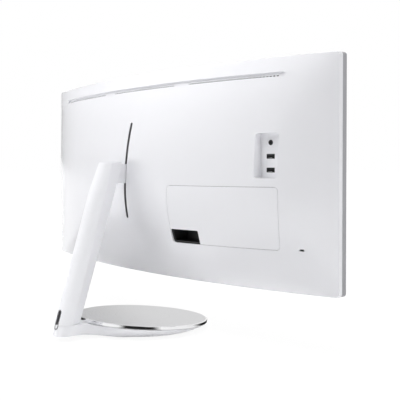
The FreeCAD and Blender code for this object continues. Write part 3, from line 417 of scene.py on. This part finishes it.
def make_base_body():
    """Bowl and foot in one smooth wall, from the edge under the rim to the floor."""
    rows = base_outline()
    tilt = (disc_high.z - disc_low.z - DISC_THICKNESS) / (disc_high.y - disc_low.y)
    edge_height = (rim_low.z + rim_high.z) / 2 - RIM_UNDER - BODY_DROP
    disc_rear = disc_centre.y + disc_radius

    def top(y):
        plane = edge_height + (y - disc_centre.y) * tilt
        return plane + (SEAM_HEIGHT - plane) * ease(y, disc_rear, heel_y - FOOT_HALF)

    def under(y):
        return PAD_HEIGHT + (HEEL_LIFT - PAD_HEIGHT) * ease(y, 0.5 * disc_rear, heel_y)

    def wall(y):
        narrowing = ease(y, 0.55 * disc_rear, 1.05 * disc_rear)
        near_heel = BOWL_WALL + (FOOT_WALL - BOWL_WALL) * narrowing
        return near_heel + (HEEL_WALL - FOOT_WALL) * ease(y, 1.1 * disc_rear, heel_y)

    mesh = bmesh.new()
    rings = []
    for level in WALL_LEVELS:
        ring = []
        for i, (x, y) in enumerate(rows):
            before, after = rows[max(i - 1, 0)], rows[min(i + 1, len(rows) - 1)]
            along = Vector((after[0] - before[0], after[1] - before[1])).normalized()
            if i in (0, len(rows) - 1):
                along = Vector((1, 0)) if i == 0 else Vector((-1, 0))
            inward = wall(y) * (1 - (1 - level) ** (1 / WALL_POWER))
            place = Vector((x, y)) + Vector((-along.y, along.x)) * inward
            if i in (0, len(rows) - 1):
                place.x = 0.0
            height = top(y) - (top(y) - under(place.y)) * level
            back = ARM_LEAN * (SEAM_HEIGHT - height) * ease(y, disc_rear, heel_y)
            ring.append(Vector((place.x, place.y + back, height)))
        mirrored = [Vector((-p.x, p.y, p.z)) for p in ring[-2:0:-1]]
        rings.append([mesh.verts.new(p) for p in ring + mirrored])
    count = len(rings[0])
    for upper, lower in zip(rings, rings[1:]):
        for i in range(count):
            j = (i + 1) % count
            mesh.faces.new((upper[i], upper[j], lower[j], lower[i]))
    half = len(rows) - 1
    for ring in (rings[0], rings[-1]):
        for i in range(half):
            left, left_next = ring[(count - i) % count], ring[count - i - 1]
            corners = [ring[i], ring[i + 1], left_next, left]
            mesh.faces.new(list(dict.fromkeys(corners)))
    made = add_piece("base_body", mesh, "stand", "white_metal", 40.0)
    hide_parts("base_shell")


def shell_of(node):
    """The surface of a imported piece, to find places on it."""
    data = nodes[node].data
    return BVHTree.FromPolygons([v.co for v in data.vertices],
                                [list(p.vertices) for p in data.polygons])


def add_block(mesh, low, high, bevel=0.0):
    """A block between two corners, its edges eased."""
    places = [(x, y, z) for x in (low[0], high[0]) for y in (low[1], high[1])
              for z in (low[2], high[2])]
    corners = [mesh.verts.new(place) for place in places]
    faces = [mesh.faces.new([corners[i] for i in side]) for side in
             ((0, 1, 3, 2), (4, 6, 7, 5), (0, 4, 5, 1), (2, 3, 7, 6), (0, 2, 6, 4), (1, 5, 7, 3))]
    if bevel:
        edges = list({edge for face in faces for edge in face.edges})
        bmesh.ops.bevel(mesh, geom=edges, offset=bevel, segments=2, profile=0.5,
                        affect="EDGES", material=-1)
    return corners


VENT_GROUPS = (-1, 0, 1)
VENTS_A_GROUP = 30
VENT_PITCH = 0.0061
VENT_GROUP_SHARE = 0.34         # from one group's middle to the next, as a share of the groove
GROOVE_MARGIN = 0.163           # how much shorter than the cover the groove is
VENT_HALF_LENGTH = 0.0017
VENT_HALF_HEIGHT = 0.0007
VENT_DROP = 0.031               # top of the cover to the row of air holes
SHADE_PLUG_SINK = 0.0003              # how far the near-black plugs of painted hole shade lie under the wall round them
SHADE_PLUG_DEPTH = 0.0018


def make_vent_shade_plugs():
    """Near-black plugs in the air holes in the lower side of the groove, in the dust-mesh finish:
    painted shade for the dark inside the holes.
    """
    cover = shell_of("rear_cover")
    low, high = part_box("rear_cover")
    group_pitch = VENT_GROUP_SHARE * (high.x - low.x - GROOVE_MARGIN)
    z = high.z - VENT_DROP

    def wall(x, height):
        start = Vector((x, high.y + 0.01, height))
        return cover.ray_cast(start, Vector((0, -1, 0)))[0].y

    mesh = bmesh.new()
    for group in VENT_GROUPS:
        for i in range(VENTS_A_GROUP):
            x = group * group_pitch + (i - (VENTS_A_GROUP - 1) / 2) * VENT_PITCH
            corners = add_block(mesh, (x - VENT_HALF_LENGTH, 0, z - VENT_HALF_HEIGHT),
                                (x + VENT_HALF_LENGTH, 1, z + VENT_HALF_HEIGHT))
            for corner in corners:
                before = wall(x - VENT_PITCH / 2, corner.co.z)
                after = wall(x + VENT_PITCH / 2, corner.co.z)
                share = (corner.co.x - x) / VENT_PITCH + 0.5
                face = before + (after - before) * share
                corner.co.y = face - (SHADE_PLUG_SINK if corner.co.y > 0.5 else SHADE_PLUG_DEPTH)
    add_piece("vent_hole_shade", mesh, "display", "black_plastic", finish="dust_mesh")


PORT_LIP_HALF = 0.0050
CONTACTS = 4
CONTACT_PITCH = 0.0021
CONTACT_HALF = 0.0004
CONTACT_EDGE = 0.0001


def make_port_contacts():
    """The light lower lips of the two side ports and the four contacts behind each."""
    mesh = bmesh.new()
    for node in ("usb_a_side_lower", "usb_a_side_upper"):
        low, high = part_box(node)
        mouth = high.y
        middle = (low.x + high.x) / 2
        add_block(mesh, (middle - PORT_LIP_HALF, mouth - 0.0030, low.z + 0.0009),
                  (middle + PORT_LIP_HALF, mouth - 0.0006, low.z + 0.0013), CONTACT_EDGE)
        for i in range(CONTACTS):
            x = middle + (i - (CONTACTS - 1) / 2) * CONTACT_PITCH
            add_block(mesh, (x - CONTACT_HALF, mouth - 0.009, low.z + 0.0012),
                      (x + CONTACT_HALF, mouth - 0.0035, low.z + 0.0015), CONTACT_EDGE)
    add_piece("side_port_contacts", mesh, "display", "bright_steel")


# ---------------------------------------------------------------- floor
FLOOR_HALF = 30.0
FLOOR_GLOW = 1.05
NEAR_GLOW = 0.86                # share of glow in the floor by the object; all of it far off
GLOW_START = 0.45
GLOW_REACH = 0.8
FLAG_FADE = 1.8                 # how soon a flag darkens from its ends


def make_floor():
    """A pale floor that whitens with distance, so that it has no horizon."""
    mesh = bmesh.new()
    bmesh.ops.create_grid(mesh, x_segments=1, y_segments=1, size=FLOOR_HALF)
    data = bpy.data.meshes.new("floor")
    mesh.to_mesh(data)
    mesh.free()
    floor = bpy.data.objects.new("floor", data)
    bpy.context.collection.objects.link(floor)
    finish = Finish("pale_floor", Roughness=0.9)
    cloud = finish.noise(0.7, 2.0)
    finish.set(Base_Color=finish.mix(cloud, (0.91, 0.91, 0.91, 1), (0.93, 0.93, 0.93, 1)))
    output = finish.tree.nodes["Material Output"]
    path = finish.node("LightPath").outputs
    camera_ray = Value(finish, path["Is Camera Ray"])
    seen = camera_ray.maths("MAXIMUM", camera_ray, Value(finish, path["Is Glossy Ray"]))
    x, y, z = finish.axes()
    far_off = (((x * x + y * y).power(0.5) - GLOW_START) / GLOW_REACH).clamped()
    glow = finish.node("Emission", {}, {"Color": (1, 1, 1, 1), "Strength": FLOOR_GLOW})
    both = finish.node("MixShader", {}, {0: seen * (NEAR_GLOW + far_off * (1 - NEAR_GLOW)),
                                         1: finish.shader.outputs[0], 2: glow.outputs[0]})
    finish.feed(output.inputs["Surface"], both.outputs[0])
    data.materials.append(finish.material)


def make_flag(name, azimuth, spread, near, far, grey):
    """A studio flag that only polished surfaces see: a sector from near to far, each one a
    distance from the middle of the disc and a height. It is darkest in its middle."""
    mesh = bmesh.new()
    bmesh.ops.create_grid(mesh, x_segments=24, y_segments=1, size=0.5)
    for vertex in mesh.verts:
        angle = math.radians(azimuth + vertex.co.x * spread)
        reach, height = near if vertex.co.y < 0 else far
        vertex.co = (disc_centre.x + reach * math.cos(angle),
                     disc_centre.y + reach * math.sin(angle), height)
    data = bpy.data.meshes.new(name)
    mesh.to_mesh(data)
    mesh.free()
    flag = bpy.data.objects.new(name, data)
    bpy.context.collection.objects.link(flag)
    finish = Finish(name + "_cloth", Roughness=1.0)
    x, y, z = finish.axes()
    across, along = x - disc_centre.x, y - disc_centre.y
    middle = math.radians(azimuth)
    outward = across * math.cos(middle) + along * math.sin(middle)
    turned = outward / (across * across + along * along).power(0.5)
    edge = math.cos(math.radians(spread / 2))
    inside = ((turned - edge) * (FLAG_FADE / (1 - edge))).clamped()
    output = finish.tree.nodes["Material Output"]
    glow = finish.node("Emission", {}, {
        "Color": finish.mix(inside, (1, 1, 1, 1), shade((1, 1, 1), grey)), "Strength": 1.0})
    finish.feed(output.inputs["Surface"], glow.outputs[0])
    data.materials.append(finish.material)
    for rays in ("camera", "diffuse", "transmission", "volume_scatter", "shadow"):
        setattr(flag, "visible_" + rays, False)


ON_FLOOR = ((0.13, 0.0006), (0.8, 0.0006))
BLACK = 0.02
make_base_body()
# near-black plugs in the air holes: painted shade
make_vent_shade_plugs()
make_port_contacts()
make_floor()
make_flag("card_ahead", -2.0, 72.0, (3.2, 0.35), (3.2, 2.0), 0.42)
make_flag("card_side", 122.0, 60.0, (3.2, 0.0), (3.2, 2.6), BLACK)
make_flag("cloth_ahead", 26.0, 70.0, *ON_FLOOR, BLACK)
make_flag("cloth_behind", 138.0, 56.0, *ON_FLOOR, BLACK)
make_flag("cloth_right", 248.0, 80.0, *ON_FLOOR, BLACK)
